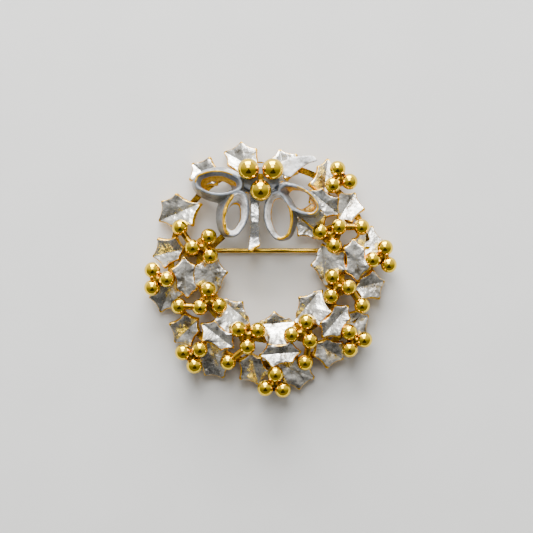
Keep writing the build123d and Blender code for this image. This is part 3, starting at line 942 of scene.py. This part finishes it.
# %% Tree that lays a stalk along each edge
stalk_tree, given, stalk_result = new_tree("stalks along edges", [
    ("Radius", "NodeSocketFloat", 0.62 * MM),
    ("Sides", "NodeSocketInt", 14),
    ("Finish", "NodeSocketMaterial", None),
])
line = add_node(stalk_tree, "GeometryNodeMeshToCurve", {"Mesh": given["Geometry"]})["Curve"]
circle = {"Radius": given["Radius"], "Resolution": given["Sides"]}
ring = add_node(stalk_tree, "GeometryNodeCurvePrimitiveCircle", circle)["Curve"]
sweep = {"Curve": line, "Profile Curve": ring, "Fill Caps": True}
tube = add_node(stalk_tree, "GeometryNodeCurveToMesh", sweep)["Mesh"]
realized = {"Geometry": tube}
real_tubes = add_node(stalk_tree, "GeometryNodeRealizeInstances", realized)["Geometry"]
finish = {"Geometry": real_tubes, "Material": given["Finish"]}
dressed = add_node(stalk_tree, "GeometryNodeSetMaterial", finish)["Geometry"]
set_inputs(stalk_tree, stalk_result, {"Geometry": dressed})
print("inputs of the stalk tree:", named_inputs(stalk_tree))

# %% [markdown]
# ## From a tree to a plain mesh
# The trees could stay live on their objects, but the model is handed on as plain meshes. Each
# tree is run once on its points and edges, the result is kept as the object's own mesh, and
# the modifier is taken off. Its inputs are set by identifier, because two may share a name.

# %% Run a tree and keep its mesh
def settled(thing):
    """Keeps the mesh that an object's modifiers make, and takes the modifiers off."""
    bpy.context.view_layer.update()
    graph = bpy.context.evaluated_depsgraph_get()
    mesh = bpy.data.meshes.new_from_object(thing.evaluated_get(graph))
    thing.modifiers.clear()
    thing.data = mesh
    return mesh


def grow(name, points_mm, edges, tree, values):
    """Runs a tree on points and edges, and returns its result as a plain mesh piece."""
    seed_mesh = bpy.data.meshes.new(name + "_points")
    seed_mesh.from_pydata([tuple(point * MM) for point in points_mm], edges, [])
    piece = new_object(name, seed_mesh)
    modifier = piece.modifiers.new("grow", "NODES")
    modifier.node_group = tree
    for item in tree.interface.items_tree:
        if item.name in values:
            modifier[item.identifier] = values[item.name]
    settled(piece).name = name
    return piece


print("a piece keeps the mesh of its tree and loses the modifier")

# %% [markdown]
# ## Berries and stalks
# The real berries shine, and their stalks are rougher. The solids of the berries could be kept,
# but they are perfect balls, each one with its stalk, which would get the same finish. The new
# balls and stalks stand in their places. The large balls have more faces than the small ones,
# because reflections show every flat.

# %% Berries and stalks
bow_berry_radius = 2.08
large_ball = {"Radius": bow_berry_radius * MM, "Segments": 56, "Rings": 32}

small = grow("small_berries", balls, [], ball_tree, {"Finish": polished_gold})
large = grow(
    "bow_berries_polished", bow_balls, [], ball_tree, {"Finish": polished_gold, **large_ball}
)
stalk_ends = [end for pair in stalks + [bow_stalk] for end in pair]
stalk_edges = [(i, i + 1) for i in range(0, len(stalk_ends), 2)]
stems = grow("berry_stalks", stalk_ends, stalk_edges, stalk_tree, {"Finish": cast_gold})
for piece in (small, large, stems):
    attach(piece, "wreath")
    print(piece.name, "faces", len(piece.data.polygons))
clusters = [f"inner_berries_{row + 1}" for row in range(len(inner_cluster_rows))]
clusters += [f"rim_berries_{row + 1}" for row in range(len(rim_cluster_rows))]
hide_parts(*clusters)
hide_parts("bow_berries")

# %% [markdown]
# ## The ribbon bow
# The real bow looks as if it was shaped from a strip of clay or wax and then cast, so its edges
# are soft and its faces uneven. It could be bent from a curve with a thickness, but its form is
# already in the solid. A copy of that is merged, remeshed finely and smoothed, which rounds
# every edge at once.

# %% Soft copy of the bow
merge_mm = 0.002
bow_voxel = 0.12
soften_share = 0.5
soften_rounds = 5

bow = new_object("ribbon_bow_soft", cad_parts["ribbon_bow"].data.copy())
tool = bmesh.new()
tool.from_mesh(bow.data)
bmesh.ops.remove_doubles(tool, verts=tool.verts, dist=merge_mm * MM)
tool.to_mesh(bow.data)
tool.free()
remesh = bow.modifiers.new("remesh", "REMESH")
remesh.mode = "VOXEL"
remesh.voxel_size = bow_voxel * MM
soften = bow.modifiers.new("soften", "SMOOTH")
soften.factor = soften_share
soften.iterations = soften_rounds
settled(bow)
print("bow faces", len(bow.data.polygons))

# %% [markdown]
# ## Places on the bow
# To say where the plating is gold, each point has to know which loop it is on and which way it
# looks. Painting by hand can't be repeated when the bow changes. So the places and normals of
# all points are read at once, and the loops are described by the sizes of the solid.

# %% Points and loops of the bow
bow_width = 24.6
knot_x = -2.0
knot_y = 17.17
loop_front = 8.3
loop_headings = {"upper_left": 176, "upper_right": -32, "lower_left": -103, "lower_right": -82}
# The middle, the length and the width of each loop's front, as shares of the bow's width.
loop_fronts = {
    "upper_left": (-0.32, -0.029, 0.39, 0.22),
    "upper_right": (0.295, -0.155, 0.37, 0.21),
    "lower_left": (-0.185, -0.265, 0.37, 0.21),
    "lower_right": (0.14, -0.28, 0.39, 0.242),
}


def read_points(mesh, what):
    """One vector for each point of a mesh, as the rows of an array."""
    values = np.empty(len(mesh.vertices) * 3)
    mesh.vertices.foreach_get(what, values)
    return values.reshape(-1, 3)


spots = read_points(bow.data, "co") / MM
normals = read_points(bow.data, "normal")
print(len(spots), "points, the highest at", round(spots[:, 2].max(), 2), "mm")

# %% [markdown]
# ## Around one loop
# A real loop is an oval band, seen from its open side. Its points could be picked by a vertex
# group in the solid, but that has none. Their distances from the loop's middle are measured
# along and across the oval instead, and their normals tell the inner wall from the outer.

# %% Around one loop
inward_limit = -0.1


def around_loop(name):
    """Steps from a loop's middle, their share of its oval, and how far normals follow them."""
    x, y, length, width = loop_fronts[name]
    turn = radians(loop_headings[name] - 90)
    away = spots[:, :2] - np.array((knot_x + x * bow_width, knot_y + y * bow_width))
    across = (away[:, 0] * cos(turn) + away[:, 1] * sin(turn)) / (width * bow_width / 2)
    along = (-away[:, 0] * sin(turn) + away[:, 1] * cos(turn)) / (length * bow_width / 2)
    return away, np.hypot(across, along), (normals[:, :2] * away).sum(axis=1)


for name in loop_fronts:
    leaning = around_loop(name)[2]
    print(name, "has", int((leaning < inward_limit).sum()), "points that look towards it")

# %% [markdown]
# ## Gold on one loop
# The rim of a real loop was left gold on one side, and its inner wall turns gold towards the
# back, where the silver didn't reach. A gradient over the whole bow would miss that. The gold
# is worked out loop by loop, from how deep a point lies and which side of the loop it is on.

# %% Gold on one loop
# The side of each loop, in degrees, where the plating of its rim was left gold, and how far
# below its front the inner wall turns gold.
loop_gold_sides = {"upper_left": 105, "upper_right": 20, "lower_left": 175, "lower_right": -15}
loop_wall_starts = {"upper_left": 1.2, "upper_right": 0.3, "lower_left": 2.7, "lower_right": 2.7}
wall_fade = 0.4
wall_contrast = 2
wall_shade = 1.4
rim_depth = 0.5
rim_fade = 0.25
rim_contrast = 3
rim_shade = -0.2
faintest_rim = 0.1
crest_inside = 0.5
crest_outside = 0.25
crest_fade = 0.2


def fade(amount, width):
    """Rises from 0 to 1 while amount goes from nothing to width."""
    return np.clip(amount / width, 0, 1)


def loop_gold(name, away, leaning):
    """Gold of each point by its depth and its side. The upper rims keep it on their crest."""
    reach = np.hypot(*away.T)
    side = radians(loop_gold_sides[name])
    facing = (away @ (cos(side), sin(side))) / reach
    walls = fade(loop_front - loop_wall_starts[name] - spots[:, 2], wall_fade)
    rim = fade(spots[:, 2] - loop_front + rim_depth, rim_fade)
    rim = rim * np.clip(facing * rim_contrast + rim_shade, faintest_rim, 1)
    if name.startswith("upper"):
        walls = walls * np.clip(facing * wall_contrast + wall_shade, 0, 1)
        outward = leaning / reach
        crest = fade(outward + crest_inside, crest_fade)
        rim = rim * (crest * fade(crest_outside - outward, crest_fade))
    return np.maximum(rim, np.where(leaning < inward_limit, walls, 0))


away, _, leaning = around_loop("upper_left")
sample_share = loop_gold("upper_left", away, leaning)
print("the upper left loop alone would make", int((sample_share > 0.5).sum()), "points gold")

# %% [markdown]
# ## Gold on all loops
# The four loops touch, so a point near two of them would be coloured twice. They could be cut
# apart first. It is enough to give each point to the loop whose middle is nearest, measured in
# that loop's own length and width. The inner walls of the lower loops are noted for a painted
# highlight.

# %% Gold on all loops
loop_reach = 1.12

gold = np.zeros(len(spots))
painted_light = np.zeros(len(spots), dtype=bool)
nearest = np.full(len(spots), np.inf)
for name in loop_fronts:
    away, distance, leaning = around_loop(name)
    share = loop_gold(name, away, leaning)
    inward = leaning < inward_limit
    mine = (distance < nearest) & (distance < loop_reach)
    nearest = np.where(mine, distance, nearest)
    gold = np.where(mine, share, gold)
    # These inner walls later take the white material, as painted highlight.
    painted_light |= mine & inward & name.startswith("lower")
print("gold on", int((gold > 0.5).sum()), "points, rubbed", int(painted_light.sum()))

# %% [markdown]
# ## The two tails
# One end of the real ribbon hangs down from the knot to a slanted end, and the other goes off
# to the right. Both are silver in front and gold on their edges. The edges could be selected
# by hand. As the tails lie nearly flat, the Z of the normal tells an edge from a front.

# %% Gold on the tails
tail_start = 3
tail_lean = 1.0
tail_half_width = 0.72
tail_widening = 0.045
right_tail_start = 3
right_tail_above = -0.35
right_tail_height = 6.9
front_normal = 0.7
front_fade = 0.3
end_slant = 0.55
end_gold = 0.5

right_of_knot = spots[:, 0] - knot_x
below_knot = -(spots[:, 1] - knot_y)
tail_reach = tail_half_width + tail_widening * below_knot
hanging = (below_knot > tail_start) & (np.abs(right_of_knot + tail_lean) < tail_reach)
right = (right_of_knot > right_tail_start) & (below_knot < right_tail_above)
right &= spots[:, 2] > right_tail_height
gold = np.where(hanging | right, fade(front_normal - normals[:, 2], front_fade), gold)
# The tail ends in a slant that climbs to the right.
tail_left, tail_low = spots[hanging, 0].min(), spots[hanging, 1].min()
tail_end = tail_low + end_slant * (spots[:, 0] - tail_left)
gold = np.where(hanging & (spots[:, 1] < tail_end + end_gold), 1.0, gold)
print("points of the tails:", int(hanging.sum()), "hanging,", int(right.sum()), "right")

# %% [markdown]
# ## Bends and unevenness
# The real hanging tail shines, darkens and shines again, because it isn't flat. A painted
# shadow would stay when the light moves, so the tail is bent twice. All faces of the bow get
# low waves from noise as well, as soft clay has.

# %% Bend the tail and make the bow uneven
# Places along Y in mm, and how far the tail lies forwards at each.
bend_places = (3.3, 6.1, 8.9, 12.8, 14.1)
bend_rises = (0.7, -0.35, 0.3, -0.35, 0.0)
bow_waves = ((0.7, 0.09), (1.9, 0.035))

rises = np.where(hanging, np.interp(spots[:, 1], bend_places, bend_rises), 0.0)
for index, vertex in enumerate(bow.data.vertices):
    wave = waves(Vector(spots[index]), bow_waves)
    vertex.co += Vector(normals[index]) * wave * MM
    vertex.co.z += rises[index] * MM
print("the tail bends between", rises.min(), "and", rises.max(), "mm")

# %% [markdown]
# ## Silver of the bow
# The bow shows three of the silvers: satin outside, a non-metal white as painted highlight inside
# the lower loops and on the right tail, and bright on the hanging tail. It could be three pieces
# with seams between them.
# One mesh with a material for each face keeps the ribbon whole.

# %% Finish of the bow
satin_slot, painted_light_slot, bright_slot = 0, 1, 2

bow.data.materials.clear()
for silver in (bow_silver, painted_light_silver, tail_silver):
    bow.data.materials.append(silver)
# The lower loops' inner walls and the right tail take the white that paints their highlight.
point_slots = np.where(hanging, bright_slot, np.where(right | painted_light, painted_light_slot, satin_slot))
for face in bow.data.polygons:
    face.material_index = int(point_slots[face.vertices[0]])
layer = bow.data.attributes.new("gold", "FLOAT", "POINT")
layer.data.foreach_set("value", gold.astype(np.float32))
bow.data.polygons.foreach_set("use_smooth", [True] * len(bow.data.polygons))
bow.data.update()
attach(bow, "wreath")
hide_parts("ribbon_bow")
print("gold points", int((gold > 0.5).sum()), "of", len(gold))

# %% [markdown]
# ## Casting and pin fittings
# The twigs and the backs of the leaves are rough plated metal, and the hinge, rivet, catch and
# stem are plain sheet and wire. They could be modelled again, but the solids already have
# their true shape, so only their material slots are filled.

# %% Finishes of the solids that stay
finishes = {
    "holly_wreath": cast_gold,
    "pin_hinge": cast_gold,
    "pin_catch": cast_gold,
    "hinge_rivet": polished_gold,
    "pin_stem": pin_gold,
}
for node, node_finish in finishes.items():
    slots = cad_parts[node].data.materials
    slots.clear()
    slots.append(node_finish)
    print(node, "is", node_finish.name)

# %% [markdown]
# ## Floor and dark card
# The brooch lies on pale paper, and every polished berry shows a small dark spot, as anything
# dark over it gives. The spot could be painted on the berries, but then it wouldn't move over
# them with the view. So a dark card lies between the brooch and the camera, which doesn't see
# it: only the reflections do.

# %% Floor and card
floor_reach = 1.5
card_corners = [(-0.4, -0.5, 0.45), (0.4, -0.5, 0.45), (0.03, 0.07, 0.45)]


def flat_card(name, corners, material):
    """A flat sheet through corners in metres, which is no part of the brooch."""
    mesh = bpy.data.meshes.new(name)
    mesh.from_pydata(corners, [], [tuple(range(len(corners)))])
    mesh.materials.append(material)
    card = new_object(name, mesh)
    return card


paper, tree, shader, place = new_material("pale paper")
tone = noise_node(tree, place, size_mm=14.0, detail=2.0)
colour = mix_colours(tree, tone, (0.68, 0.68, 0.665), (0.74, 0.74, 0.725))
set_inputs(tree, shader, {"Base Color": colour, "Roughness": 0.9})
signs = ((-1, -1), (1, -1), (1, 1), (-1, 1))
flat_card("floor", [(x * floor_reach, y * floor_reach, 0) for x, y in signs], paper)

black, tree, shader, _ = new_material("dark card")
set_inputs(tree, shader, {"Base Color": (0.01, 0.01, 0.01, 1), "Roughness": 0.8})
card = flat_card("dark_card", card_corners, black)
card.visible_camera = False
print("floor and card are", [paper.name, black.name])

# %% [markdown]
# ## Lamps
# In the photograph the light comes from its top and the shadows are soft, so the lamp was
# broad. A sun lamp would give hard shadows. A large area lamp low at the top gives the broad
# highlight of each berry, and a small one higher up gives the spark in it.

# %% Lamps
def soft_lamp(name, place_m, size_m, watts):
    """A square lamp that looks at the brooch."""
    data = bpy.data.lights.new(name, "AREA")
    data.size = size_m
    data.energy = watts
    lamp = new_object(name, data)
    lamp.location = place_m
    lamp.rotation_euler = (-Vector(place_m)).to_track_quat("-Z", "Y").to_euler()


soft_lamp("key", place_m=(-0.05, 0.62, 0.19), size_m=0.5, watts=20.0)
soft_lamp("window", place_m=(-0.04, 0.3, 0.48), size_m=0.26, watts=2.2)
print("lamps:", [lamp.name for lamp in bpy.data.lights])

# %% [markdown]
# ## Light all round
# Polished metal mirrors the whole room, so a room of one even grey would make the berries flat.
# An image of a studio is the usual answer, but this scene reads no images. A world that is
# dim on one side and bright towards the lamps gives the same slow change across each ball.

# %% World light
brighter_towards = (0.0, 0.8, 0.05)
room_colour = (1.0, 0.985, 0.95, 1)

world = bpy.data.worlds.new("studio")
world.use_nodes = True
room = world.node_tree
way = add_node(room, "ShaderNodeTexCoord", {})["Generated"]
slant = {0: way, 1: brighter_towards}
towards = add_node(room, "ShaderNodeVectorMath", slant, operation="DOT_PRODUCT")["Value"]
light = spread(room, towards, low=-0.15, high=0.45, to_low=0.23, to_high=1.0)
set_inputs(room, room.nodes["Background"], {"Color": room_colour, "Strength": light})
bpy.context.scene.world = world
print("world light towards", brighter_towards)
